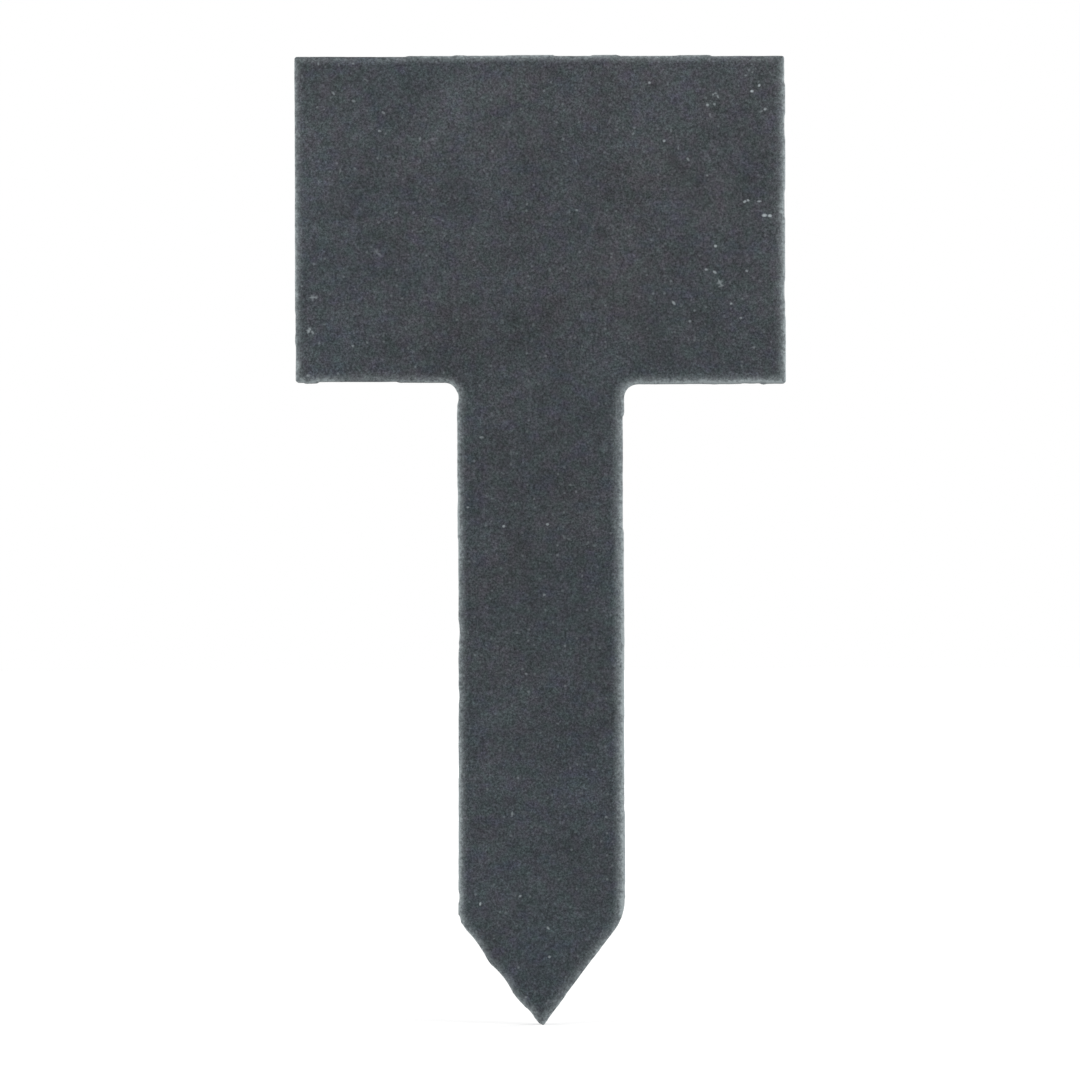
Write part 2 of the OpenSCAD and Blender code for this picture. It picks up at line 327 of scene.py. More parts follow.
class LabelSizes(bpy.types.PropertyGroup):
    """Sizes of the slate slab"""

    head_width: FloatProperty(
        name="Head Width", description="Width of the writing head",
        default=HIGH.x - LOW.x, unit="LENGTH", precision=4,
    )
    total_height: FloatProperty(
        name="Total Height", description="Height from the tip of the point to the top edge",
        default=HIGH.z - LOW.z, unit="LENGTH", precision=4,
    )
    thickness: FloatProperty(
        name="Thickness", description="Thickness of the slate",
        default=HIGH.y - LOW.y, unit="LENGTH", precision=4,
    )
    head_height: FloatProperty(
        name="Head Height", description="Height of the writing head, from its left underside",
        default=0.0498, unit="LENGTH", precision=4,
    )
    underside_step: FloatProperty(
        name="Underside Step", description="How much lower the right underside was sawn",
        default=0.0005, unit="LENGTH", precision=5,
    )
    stem_width: FloatProperty(
        name="Stem Width", description="Width of the stem",
        default=0.0252, unit="LENGTH", precision=4,
    )
    left_slope_angle: FloatProperty(
        name="Left Slope", description="Angle between the left slope and the middle line",
        default=math.radians(38.9), subtype="ANGLE",
    )
    right_slope_angle: FloatProperty(
        name="Right Slope", description="Angle between the right slope and the middle line",
        default=math.radians(37.2), subtype="ANGLE",
    )
    corner_radius: FloatProperty(
        name="Corner Radius", description="Radius of the four outer corners of the head",
        default=0.0004, unit="LENGTH", precision=5,
    )
    left_neck_radius: FloatProperty(
        name="Left Neck Radius", description="Radius of the left inner corner",
        default=0.0020, unit="LENGTH", precision=5,
    )
    right_neck_radius: FloatProperty(
        name="Right Neck Radius", description="Radius of the right inner corner",
        default=0.0022, unit="LENGTH", precision=5,
    )
    tip_radius: FloatProperty(
        name="Tip Radius", description="Radius of the blunt tip",
        default=0.0003, unit="LENGTH", precision=5,
    )
    left_shoulder_radius: FloatProperty(
        name="Left Shoulder Radius", description="Radius where the stem turns into the left slope",
        default=0.005, unit="LENGTH", precision=4,
    )
    right_shoulder_radius: FloatProperty(
        name="Right Shoulder Radius", description="Radius where the stem turns into the right slope",
        default=0.008, unit="LENGTH", precision=4,
    )
    top_easing: FloatProperty(
        name="Top Easing", description="Width of the easing along the top edge",
        default=0.0012, unit="LENGTH", precision=5,
    )
    left_easing: FloatProperty(
        name="Left Easing", description="Width of the easing along the edges on the left",
        default=0.0014, unit="LENGTH", precision=5,
    )
    right_easing: FloatProperty(
        name="Right Easing", description="Width of the easing along the edges on the right",
        default=0.0018, unit="LENGTH", precision=5,
    )
    easing_depth: FloatProperty(
        name="Easing Depth", description="How far the easing runs down the sawn edge",
        default=0.0005, unit="LENGTH", precision=5,
    )
    nose_radius: FloatProperty(
        name="Nose Radius", description="Radius rubbed on the corner between easing and sawn edge",
        default=0.0002, unit="LENGTH", precision=5,
    )


class SlateFinish(bpy.types.PropertyGroup):
    """Colour and texture of the slate"""

    slate_colour: FloatVectorProperty(
        name="Slate", description="Colour of the riven faces",
        default=(0.0459, 0.0525, 0.0584), subtype="COLOR", min=0.0, max=1.0,
    )
    # Pale colour of the easing: partly rubbed slate, partly painted highlight on the arris
    rubbed_and_highlight_colour: FloatVectorProperty(
        name="Rubbed Slate", description="Colour of slate that is rubbed to powder on the easing",
        default=(0.315, 0.356, 0.367), subtype="COLOR", min=0.0, max=1.0,
    )
    sawn_colour: FloatVectorProperty(
        name="Sawn Slate", description="Colour of the sawn edge",
        default=(0.112, 0.125, 0.132), subtype="COLOR", min=0.0, max=1.0,
    )
    fleck_colour: FloatVectorProperty(
        name="Fleck", description="Colour of the pale flecks",
        default=(0.42, 0.47, 0.49), subtype="COLOR", min=0.0, max=1.0,
    )
    grain_size: FloatProperty(
        name="Grain Size", description="Size of the grain of the riven face",
        default=0.00030, unit="LENGTH", precision=5,
    )
    grain_contrast: FloatProperty(
        name="Grain Contrast", description="How much lighter or darker a grain is than the slate",
        default=1.0, min=0.0, max=3.0, subtype="FACTOR",
    )
    relief: FloatProperty(
        name="Relief", description="Depth of the slow swells of the riven face",
        default=0.00009, unit="LENGTH", precision=6,
    )
    seed: IntProperty(
        name="Seed", description="Seed of the marks that no rule places", default=7, min=0,
    )


class StageSettings(bpy.types.PropertyGroup):
    """Camera and light"""

    shown_width: FloatProperty(
        name="Shown Width", description="Width of the picture at the writing face",
        default=0.1649, unit="LENGTH", precision=4,
    )
    camera_distance: FloatProperty(
        name="Camera Distance", description="Distance from the camera to the writing face",
        default=1.1, unit="LENGTH",
    )
    camera_roll: FloatProperty(
        name="Camera Roll", description="How far the camera leans to its right",
        default=math.radians(0.172), subtype="ANGLE",
    )
    aim_across: FloatProperty(
        name="Aim Across", description="Where the camera aims, across from the middle line",
        default=-0.000165, unit="LENGTH", precision=5,
    )
    aim_height: FloatProperty(
        name="Aim Height", description="Where the camera aims, up from the tip",
        default=0.07409, unit="LENGTH", precision=5,
    )
    ambient: FloatProperty(
        name="Ambient", description="Share of the light that comes from all round",
        default=0.45, min=0.0, max=1.0, subtype="FACTOR",
    )


def inward(heading):
    """The side of a heading where the slate is, which is the right hand."""
    return np.array((heading[1], -heading[0]))


def smooth(share):
    share = np.clip(share, 0.0, 1.0)
    return share * share * (3.0 - 2.0 * share)


def label_corners(sizes):
    """Corners of the sawn T with their radii, clockwise from the tip, each at the start of its run."""
    half_stem = sizes.stem_width / 2
    half_head = sizes.head_width / 2
    half_point = (sizes.left_slope_angle + sizes.right_slope_angle) / 2
    lean = (sizes.left_slope_angle - sizes.right_slope_angle) / 2
    apex = sizes.tip_radius - sizes.tip_radius / math.sin(half_point) * math.cos(lean)
    left_shoulder = apex + half_stem / math.tan(sizes.left_slope_angle)
    right_shoulder = apex + half_stem / math.tan(sizes.right_slope_angle)
    top = sizes.total_height
    left_under = top - sizes.head_height
    right_under = left_under - sizes.underside_step
    rows = (
        (0.0, apex, sizes.tip_radius),
        (-half_stem, left_shoulder, sizes.left_shoulder_radius),
        (-half_stem, left_under, sizes.left_neck_radius),
        (-half_head, left_under, sizes.corner_radius),
        (-half_head, top, sizes.corner_radius),
        (half_head, top, sizes.corner_radius),
        (half_head, right_under, sizes.corner_radius),
        (half_stem, right_under, sizes.right_neck_radius),
        (half_stem, right_shoulder, sizes.right_shoulder_radius),
    )
    return [(x, z) for x, z, _ in rows], [radius for _, _, radius in rows]


class Outline:
    """The sawn outline as close points: places, ways inward, runs, and distances along the run."""

    STEP = 0.36 * MM
    ARC_STEPS = 6

    def __init__(self, corners, radii):
        self.corners = np.array(corners)
        self.radii = radii
        legs = np.roll(self.corners, -1, 0) - self.corners
        self.run_length = np.hypot(*legs.T)
        self.way = legs / self.run_length[:, None]
        self.turn = [self.turn_at(i) for i in range(len(RUNS))]
        self.gap = [r * math.tan(abs(t) / 2) for r, t in zip(radii, self.turn)]
        self.rows = []
        for i in range(len(RUNS)):
            self.round_corner(i)
            self.run_straight(i)
        table = np.array(self.rows)
        self.place = table[:, 0:2].copy()
        self.inward = table[:, 2:4].copy()
        self.run = table[:, 4].astype(int)
        self.along = table[:, 5].copy()
        self.length = self.run_length[self.run]

    def turn_at(self, i):
        """Angle that the outline turns by at a corner, positive to the right."""
        a, b = self.way[i - 1], self.way[i]
        return math.atan2(a[1] * b[0] - a[0] * b[1], a[0] * b[0] + a[1] * b[1])

    def round_corner(self, i):
        radius, turn, gap = self.radii[i], self.turn[i], self.gap[i]
        way_in = self.way[i - 1]
        side = math.copysign(1.0, turn)
        centre = self.corners[i] - gap * way_in + radius * side * inward(way_in)
        first = math.atan2(way_in[1], way_in[0])
        steps = max(self.ARC_STEPS, math.ceil(radius * abs(turn) / self.STEP))
        run_before = (i - 1) % len(RUNS)
        for k in range(steps + 1):
            angle = first - turn * k / steps
            way_inward = inward((math.cos(angle), math.sin(angle)))
            x, z = centre - radius * side * way_inward
            past = gap * (2 * k / steps - 1)
            run, along = (i, past) if past > 0 else (run_before, self.run_length[i - 1] + past)
            self.rows.append((x, z, *way_inward, run, along))

    def run_straight(self, i):
        first = self.gap[i]
        free = self.run_length[i] - first - self.gap[(i + 1) % len(RUNS)]
        steps = math.ceil(free / self.STEP)
        for k in range(1, steps):
            along = first + free * k / steps
            x, z = self.corners[i] + along * self.way[i]
            self.rows.append((x, z, *inward(self.way[i]), i, along))

    def blended(self, value_of_run, reach=2.5 * MM):
        """A value that each run has, blended with its neighbours' round the corners."""
        values = np.array(value_of_run)
        own = values[self.run]
        before = values[self.run - 1]
        after = values[(self.run + 1) % len(RUNS)]
        share_before = 0.5 * np.clip(1 - self.along / reach, 0, 1)
        share_after = 0.5 * np.clip(1 - (self.length - self.along) / reach, 0, 1)
        return own + share_before * (before - own) + share_after * (after - own)

    def on_run(self, name):
        return self.run == RUNS.index(name)

    def point_at(self, name, along):
        """Index of the point of a run that is nearest to a distance along it."""
        off = np.where(self.on_run(name), np.abs(self.along - along), np.inf)
        return int(np.argmin(off))

    def steps_between(self):
        return np.hypot(*(np.roll(self.place, -1, 0) - self.place).T)


def ledge_depth(name, along, ramp=0.5 * MM):
    """How far the saw's ledges set a run back, at distances along it."""
    ledges = LEDGES[name]
    depth = np.full(len(along), ledges[0][1])
    for (end, level), (_, next_level) in zip(ledges, ledges[1:]):
        depth += (next_level - level) * smooth((along - end * MM) / ramp + 0.5)
    return depth * MM


def corner_shift(outline, i):
    """Where a corner goes, so that it stays on the ledges of both runs that meet there."""
    sides = np.array((inward(outline.way[i - 1]), inward(outline.way[i])))
    return np.linalg.solve(sides, (LEDGES[RUNS[i - 1]][-1][1] * MM, LEDGES[RUNS[i]][0][1] * MM))


def ledge_shift(outline, reach=2.0 * MM):
    """Shift of each point of the outline on to the ledges that the saw left."""
    shift = np.zeros(outline.place.shape)
    for i, name in enumerate(RUNS):
        here = outline.on_run(name)
        along = outline.along[here]
        to_end = outline.run_length[i] - along
        after = (i + 1) % len(RUNS)
        near_start = np.clip(1 - (along - outline.gap[i]) / reach, 0, 1)
        near_end = np.clip(1 - (to_end - outline.gap[after]) / reach, 0, 1)
        slide = near_start * (corner_shift(outline, i) @ outline.way[i])
        slide += near_end * (corner_shift(outline, after) @ outline.way[i])
        shift[here] = ledge_depth(name, along)[:, None] * inward(outline.way[i])
        shift[here] += slide[:, None] * outline.way[i]
    return shift


def hollow_set_back(outline):
    """How far the scallops and nicks are cut into each point of the outline."""
    set_back = np.zeros(len(outline.place))
    for name, middle, width, depth in HOLLOWS:
        radius = (width * width / (8 * depth) + depth / 2) * MM
        off = np.abs(outline.along - middle * MM)
        here = outline.on_run(name) & (off < width / 2 * MM)
        set_back[here] += np.sqrt(radius**2 - off[here] ** 2) - (radius - depth * MM)
    return set_back


def wavy_set_back(outline, seed):
    """The unsteadiness of the hand that dressed the edge, in and out."""
    slow, quick = 5.0 * MM, 0.9 * MM
    swell_mm, chatter_mm = 0.04, 0.025
    set_back = []
    for x, z in outline.place:
        swell = noise.noise(Vector((x / slow, z / slow, seed)))
        chatter = noise.noise(Vector((x / quick, z / quick, seed + 0.5)))
        set_back.append((swell_mm * swell + chatter_mm * chatter) * MM)
    return np.array(set_back)


def dressed_outline(sizes, seed):
    """The outline as sawn and dressed, kept within the sheet that the label was cut from."""
    outline = Outline(*label_corners(sizes))
    set_back = hollow_set_back(outline) + wavy_set_back(outline, seed)
    outline.place += ledge_shift(outline) + outline.inward * set_back[:, None]
    half = sizes.head_width / 2
    outline.place = np.clip(outline.place, (-half, 0.0), (half, sizes.total_height))
    return outline


def easing_widths(outline, sizes):
    widths = {"top": sizes.top_easing, "left": sizes.left_easing, "right": sizes.right_easing}
    return outline.blended([widths[name.split("_")[0]] for name in RUNS])


def rubbed_and_highlight_shares(outline):
    """How pale the arris and the easing are at each point of the outline, partly rubbed slate and partly
    painted highlight.
    """
    shares = np.zeros((2, len(outline.place)))
    for name, places in RUBBED_AND_HIGHLIGHT.items():
        here = outline.on_run(name)
        along, arris, slope = np.array(places).T
        for row, values in enumerate((arris, slope)):
            shares[row, here] = np.interp(outline.along[here], along * MM, values)
    return shares


def easing_drop(distance, width, depth, roundness=0.7):
    """How far the eased arris lies below the face, at a distance inward from the sawn edge."""
    chord_angle = np.arctan2(depth, width)
    crease = chord_angle * (1 - roundness)
    radius = np.hypot(width, depth) / (2 * np.sin(chord_angle - crease))
    middle = width + radius * np.sin(crease)
    inside = np.minimum(distance, width)
    return radius * np.cos(crease) - np.sqrt(radius**2 - (middle - inside) ** 2)


def nose_drop(distance, radius):
    """What the rubbed nose takes off besides, right at the sawn edge."""
    short = np.clip(radius - distance, 0, radius)
    return radius - np.sqrt(radius**2 - short**2)


def nearest_edge(points, place):
    """Distance from each point to the closed line through the places, and the nearest place."""
    way = np.roll(place, -1, 0) - place
    size = (way**2).sum(1)
    distance, nearest = [], []
    for first in range(0, len(points), 1000):
        off = points[first : first + 1000, None, :] - place[None]
        share = np.clip((off * way[None]).sum(2) / size, 0, 1)
        gap = ((off - share[..., None] * way[None]) ** 2).sum(2)
        distance.append(np.sqrt(gap.min(1)))
        nearest.append(gap.argmin(1))
    return np.concatenate(distance), np.concatenate(nearest)


def easing_rings(outline, widths):
    """Rings of points across the easing: places, distances inward, and their outline points."""
    places, distances, owners = [], [], []
    least_clear = 0.97
    for share in RING_SHARES:
        distance = share * widths
        ring = outline.place + outline.inward * distance[:, None]
        free = nearest_edge(ring, outline.place)[0] > least_clear * distance
        places.append(ring[free])
        distances.append(distance[free])
        owners.append(np.flatnonzero(free))
    return np.concatenate(places), np.concatenate(distances), np.concatenate(owners)


def fleck_points(fleck):
    """Points on one fleck: its middle, a ring half way out and a ring at its rim."""
    x, z, long, wide, tilt, pale = fleck
    turn = math.radians(tilt)
    places, shares = [(x * MM, z * MM)], [1.0]
    corners = 9
    rings = ((0.5, 0.85), (1.0, 0.0))
    for share, strength in rings:
        for k in range(corners):
            angle = 2 * math.pi * (k + share) / corners
            u = long / 2 * share * math.cos(angle)
            v = wide / 2 * share * math.sin(angle)
            across = u * math.cos(turn) - v * math.sin(turn)
            up = u * math.sin(turn) + v * math.cos(turn)
            places.append(((x + across) * MM, (z + up) * MM))
            shares.append(strength)
    return np.array(places), np.array(shares) * pale


def searchable(places):
    """A tree that finds the nearest of the places."""
    tree = KDTree(len(places))
    for i, (x, z) in enumerate(places):
        tree.insert((x, z, 0), i)
    tree.balance()
    return tree


def face_grid(outline, widths, chips, spacing=0.5 * MM):
    """A triangular grid of points over the flat of the face, clear of the easing and the flecks."""
    edge, taken = searchable(outline.place), searchable(chips)
    low, high = outline.place.min(0), outline.place.max(0)
    ring_gap, chip_gap = 0.35 * MM, 0.28 * MM
    row_height = spacing * math.sqrt(0.75)
    points = []
    for row in range(1, int((high[1] - low[1]) / row_height)):
        z = low[1] + row * row_height
        shift = spacing / 2 * (row % 2)
        for column in range(int((high[0] - low[0]) / spacing) + 1):
            x = low[0] + shift + column * spacing
            _, i, distance = edge.find((x, z, 0))
            off = (x - outline.place[i, 0], z - outline.place[i, 1])
            inside = off[0] * outline.inward[i, 0] + off[1] * outline.inward[i, 1] > 0
            if not inside or distance < RING_SHARES[-1] * widths[i] + ring_gap:
                continue
            if taken.find((x, z, 0))[2] > chip_gap:
                points.append((x, z))
    return np.array(points)


class FaceMesh:
    """One face of the slab in the plane: its points, its triangles, and what is known of each point."""

    RING_GAP = 0.2 * MM

    def __init__(self, outline, sizes, flecks):
        widths = easing_widths(outline, sizes)
        self.rim = len(outline.place)
        ring, ring_distance, ring_owner = easing_rings(outline, widths)
        made = [fleck_points(fleck) for fleck in flecks]
        chips = np.concatenate([places for places, _ in made])
        pale = np.concatenate([shares for _, shares in made])
        grid = face_grid(outline, widths, chips)
        clear = np.array([min(np.hypot(*(chips - p).T)) for p in ring]) > self.RING_GAP
        chip_distance, chip_owner = nearest_edge(chips, outline.place)
        self.place = np.concatenate([outline.place, ring[clear], grid, chips])
        distance = np.concatenate([
            np.zeros(self.rim), ring_distance[clear], np.full(len(grid), np.inf), chip_distance,
        ])
        owner = np.concatenate([
            np.arange(self.rim), ring_owner[clear], np.zeros(len(grid), int), chip_owner,
        ])
        width = widths[owner]
        self.drop = easing_drop(distance, width, sizes.easing_depth)
        self.drop += nose_drop(distance, sizes.nose_radius)
        near = 1 - np.clip(distance / width, 0, 1)
        # Paleness of the arris and easing: partly rubbed slate, partly painted highlight
        arris, slope = rubbed_and_highlight_shares(outline)[:, owner]
        self.worn_and_highlight = np.clip(arris * near**4 + slope * near, 0, None)
        self.chip = np.concatenate([np.zeros(len(self.place) - len(chips)), pale])
        self.triangles = self.triangulated()

    def triangulated(self):
        rim = [(i, (i + 1) % self.rim) for i in range(self.rim)]
        points = [Vector(p / MM) for p in self.place]
        made, _, faces, origins, _, _ = delaunay_2d_cdt(points, rim, [], 1, 1e-6)
        if len(made) != len(points):
            raise ValueError("points of the face coincide")
        source = np.array([origin[0] for origin in origins])
        return source[np.array(faces)]


def patch_tone(points, patches):
    """How much lighter or darker the patches make each point of a face."""
    tone = np.zeros(len(points))
    for across, up, long, wide, tilt, lighter in patches:
        off = points / MM - (across, up)
        turn = math.radians(tilt)
        u = off[:, 0] * math.cos(turn) + off[:, 1] * math.sin(turn)
        v = off[:, 1] * math.cos(turn) - off[:, 0] * math.sin(turn)
        tone += lighter * np.exp(-((2 * u / long) ** 2) - (2 * v / wide) ** 2)
    return tone


def random_place(rng, fields, head_share=0.75):
    """A place on the head or the stem of the face that the photograph doesn't show."""
    across, up = fields[0] if rng.random() < head_share else fields[1]
    return rng.uniform(*across), rng.uniform(*up)


def random_flecks(rng, count=60, spacing=1.6):
    """Flecks for the back, no two of them close together."""
    flecks = []
    while len(flecks) < count:
        across, up = random_place(rng, FLECK_FIELDS)
        if all(math.hypot(across - x, up - z) > spacing for x, z, *_ in flecks):
            long, wide, tilt = rng.uniform(0.5, 0.95), rng.uniform(0.38, 0.5), rng.uniform(0, 180)
            flecks.append((across, up, long, wide, tilt, 0.2 + 0.6 * rng.random() ** 2))
    return flecks


def random_patches(rng, count=26):
    """Patches for the back."""
    patches = []
    for _ in range(count):
        across, up = random_place(rng, PATCH_FIELDS)
        long = rng.uniform(3, 22)
        lighter = rng.choice((-0.09, -0.06, 0.06, 0.1, 0.16))
        wide, tilt = long * rng.uniform(0.3, 0.9), rng.uniform(0, 180)
        patches.append((across, up, long, wide, tilt, lighter))
    return patches


def riven_relief(points, seed, depth):
    """Depth below the flat of each point of a face that was split: slow swells and thin cleft steps."""
    swell_share, ripple_share, step_share = 0.45, 0.07, 0.16
    wide_swell, tall_swell = 19, 26
    wide_ripple, tall_ripple = 3.1, 4.3
    wide_cleft, tall_cleft, slant = 11, 34, 0.8
    steps, step_width = 4.0, 0.12
    rows = []
    for x, z in points / MM:
        swell = noise.fractal(Vector((x / wide_swell, z / tall_swell, seed)), 1.0, 2.1, 3)
        ripple = noise.noise(Vector((x / wide_ripple, z / tall_ripple, seed + 3.3)))
        across, along = (x + slant * z) / wide_cleft, (z - slant * x) / tall_cleft
        cleft = noise.noise(Vector((across, along, seed + 7.7)))
        terrace = steps * cleft
        step = math.floor(terrace) + smooth((terrace - math.floor(terrace)) / step_width)
        rows.append(swell_share * swell + ripple_share * ripple + step_share * step)
    relief = np.array(rows)
    relief = (relief - relief.min()) / (relief.max() - relief.min())
    return depth * relief


def struck(points, centre, radius):
    """Points inside the sphere go out to its surface, which leaves a shell-shaped hollow."""
    off = points - centre
    distance = np.sqrt((off**2).sum(1))
    inside = distance < radius
    points[inside] = centre + off[inside] * (radius / distance[inside])[:, None]
    return inside


def flake_centre(outline, i, width, sizes, radius, depth, side):
    """Centre of the ball that a flake's hollow belongs to, off the arris of one face."""
    tilt = math.radians(50)
    lift = radius - depth
    inboard = width / 3 - lift * math.cos(tilt)
    x, z = outline.place[i] + inboard * outline.inward[i]
    y = sizes.thickness / 2 - sizes.easing_depth / 3 + lift * math.sin(tilt)
    return np.array((x, side * y, z))


def random_flakes(rng, spacing=16.0):
    """Flakes for the arris of the back, at uneven distances along every run."""
    lengths = {"left_slope": 20, "left_stem": 83, "left_under": 25, "left_edge": 50, "top_edge": 75,
               "right_edge": 50, "right_under": 25, "right_stem": 81, "right_slope": 21}
    flakes = []
    for name, length in lengths.items():
        count = round(length / spacing)
        for k in range(count):
            along = (k + rng.uniform(0.2, 0.8)) * length / count
            flakes.append((name, along, rng.uniform(1.6, 2.8), rng.uniform(0.1, 0.26)))
    return flakes


class Slab:
    """The whole slab: front face, back face and the sawn edge between them."""

    EDGE_ROWS = 10
    PIT_DEPTH = 0.07 * MM
    LAYER_DEPTH = 0.045 * MM
    LAYER_THICKNESS = 0.45 * MM
    LAYER_LENGTH = 14 * MM
    # How far the rubbed paleness and painted highlight of the arris carry down the sawn edge
    RUBBED_AND_HIGHLIGHT_EDGE = 0.35
    UV_MARGIN = 1.2 * MM
    STRIP_GAP = 1.0 * MM

    def __init__(self, sizes, finish):
        self.sizes = sizes
        self.finish = finish
        self.rng = random.Random(finish.seed)
        self.outline = dressed_outline(sizes, finish.seed)
        self.widths = easing_widths(self.outline, sizes)
        self.front = FaceMesh(self.outline, sizes, FLECKS)
        self.back = FaceMesh(self.outline, sizes, random_flecks(self.rng))
        front = self.face_points(self.front, FRONT)
        back = self.face_points(self.back, BACK)
        self.points = np.concatenate([front, back, *self.sawn_rows(front, back)])
        self.strike_flakes()

    def face_points(self, face, side):
        relief = riven_relief(face.place, self.finish.seed + side, self.finish.relief)
        pit = self.PIT_DEPTH * face.chip
        y = side * (self.sizes.thickness / 2 - face.drop - relief - pit)
        return np.stack([face.place[:, 0], y, face.place[:, 1]], 1)

    def sawn_rows(self, front, back):
        """Rows of points down the sawn edge, set back a little where softer layers lie."""
        rim = self.front.rim
        size = (self.LAYER_LENGTH, self.LAYER_THICKNESS, self.LAYER_LENGTH)
        rows = []
        for k in range(1, self.EDGE_ROWS):
            share = k / self.EDGE_ROWS
            row = front[:rim] * (1 - share) + back[:rim] * share
            layers = [noise.noise(Vector(place / size)) for place in row]
            set_back = self.LAYER_DEPTH * np.clip(0.5 + np.array(layers), 0, 1.2)
            row[:, 0] += self.outline.inward[:, 0] * set_back
            row[:, 2] += self.outline.inward[:, 1] * set_back
            rows.append(row)
        return rows

    def strike_flakes(self):
        flakes = [(FRONT, flake) for flake in FRONT_FLAKES]
        flakes += [(BACK, flake) for flake in random_flakes(self.rng)]
        self.fresh = np.zeros(len(self.points))
        for side, (name, along, radius, depth) in flakes:
            i = self.outline.point_at(name, along * MM)
            centre = flake_centre(
                self.outline, i, self.widths[i], self.sizes, radius * MM, depth * MM, side
            )
            inside = struck(self.points, centre, radius * MM)
            self.fresh[inside] = 1.0

    def index_rows(self):
        """Indices of the points of each row across the edge, from the front rim to the back rim."""
        rim, front, back = self.front.rim, len(self.front.place), len(self.back.place)
        rows = [np.arange(rim)]
        rows += [front + back + k * rim + np.arange(rim) for k in range(self.EDGE_ROWS - 1)]
        rows.append(front + np.arange(rim))
        return rows

    def faces(self):
        faces = [tuple(t) for t in self.front.triangles]
        faces += [tuple(t[::-1] + len(self.front.place)) for t in self.back.triangles]
        rows = self.index_rows()
        for near, far in zip(rows, rows[1:]):
            after_near, after_far = np.roll(near, -1), np.roll(far, -1)
            faces += list(zip(near, after_near, after_far, far))
        return [tuple(int(i) for i in face) for face in faces]

    def attributes(self):
        """What the finish reads at each point: tone, warmth, wear with painted arris highlight, sawn
        stone, chips and fresh flakes.
        """
        rim, front, back = self.front.rim, self.front, self.back
        down = np.abs(np.arange(1, self.EDGE_ROWS) / self.EDGE_ROWS - 0.5) * 2
        # Rubbed paleness and painted highlight of the front arris, carried down the edge towards both
        # faces
        edge_worn_and_highlight = [np.full(rim, self.RUBBED_AND_HIGHLIGHT_EDGE * d**3) * front.worn_and_highlight[:rim] for d in down]
        half_sawn = [np.where(np.arange(len(face.place)) < rim, 0.5, 0.0) for face in (front, back)]
        edge = np.zeros(rim * (self.EDGE_ROWS - 1))
        front_tone = patch_tone(front.place, PATCHES)
        back_tone = patch_tone(back.place, random_patches(self.rng))
        edge_tone = np.tile(front_tone[:rim], self.EDGE_ROWS - 1)
        return {
            "tone": np.concatenate([front_tone, back_tone, edge_tone]),
            "warm": np.concatenate([patch_tone(front.place, WARM_PATCHES), 0 * back_tone, edge]),
            "worn_and_highlight": np.concatenate([front.worn_and_highlight, back.worn_and_highlight, *edge_worn_and_highlight]),
            "sawn": np.concatenate([*half_sawn, edge + 1]),
            "chip": np.concatenate([front.chip, back.chip, edge]),
            "fresh": self.fresh,
        }

    def uv_of_faces(self):
        """Both faces side by side, and the sawn edge in strips between the two stems."""
        sizes, margin = self.sizes, self.UV_MARGIN
        side = 2 * sizes.head_width + 3 * margin
        front = self.front.place + np.array((sizes.head_width / 2 + margin, margin))
        front = front[self.front.triangles].reshape(-1, 2)
        to_right = side - sizes.head_width / 2 - margin
        back = self.back.place * np.array((-1, 1)) + np.array((to_right, margin))
        back = back[self.back.triangles[:, ::-1]].reshape(-1, 2)
        return np.concatenate([front, back, self.strip_uv()]) / side

    def strip_uv(self):
        """The sawn edge, cut into strips of one length that stand side by side."""
        sizes, margin = self.sizes, self.UV_MARGIN
        steps = self.outline.steps_between()
        start = np.concatenate([[0.0], np.cumsum(steps)[:-1]])
        longest = sizes.total_height - sizes.head_height - 4 * margin
        strip = np.floor((start + steps) / longest)
        up = start - strip * longest
        first = np.array([up[strip == s].min() for s in range(int(strip.max()) + 1)])
        up = up - first[strip.astype(int)] + margin
        edge_height = sizes.thickness - 2 * sizes.easing_depth
        left = (sizes.head_width + sizes.stem_width) / 2 + 2 * margin
        across = left + strip * (edge_height + self.STRIP_GAP)
        corners = []
        for k in range(self.EDGE_ROWS):
            near = across + edge_height * (1 - k / self.EDGE_ROWS)
            far = across + edge_height * (1 - (k + 1) / self.EDGE_ROWS)
            quad = [(near, up), (near, up + steps), (far, up + steps), (far, up)]
            corners.append(np.stack([np.stack(pair, 1) for pair in quad], 1).reshape(-1, 2))
        return np.concatenate(corners)

    def mesh(self, name):
        mesh = bpy.data.meshes.new(name)
        mesh.from_pydata([tuple(p) for p in self.points], [], self.faces())
        mesh.polygons.foreach_set("use_smooth", [True] * len(mesh.polygons))
        for mark, values in self.attributes().items():
            attribute = mesh.attributes.new(mark, "FLOAT", "POINT")
            attribute.data.foreach_set("value", values.astype(np.float32))
        layer = mesh.uv_layers.new(name="OFBake")
        layer.data.foreach_set("uv", self.uv_of_faces().astype(np.float32).ravel())
        mesh.update()
        return mesh


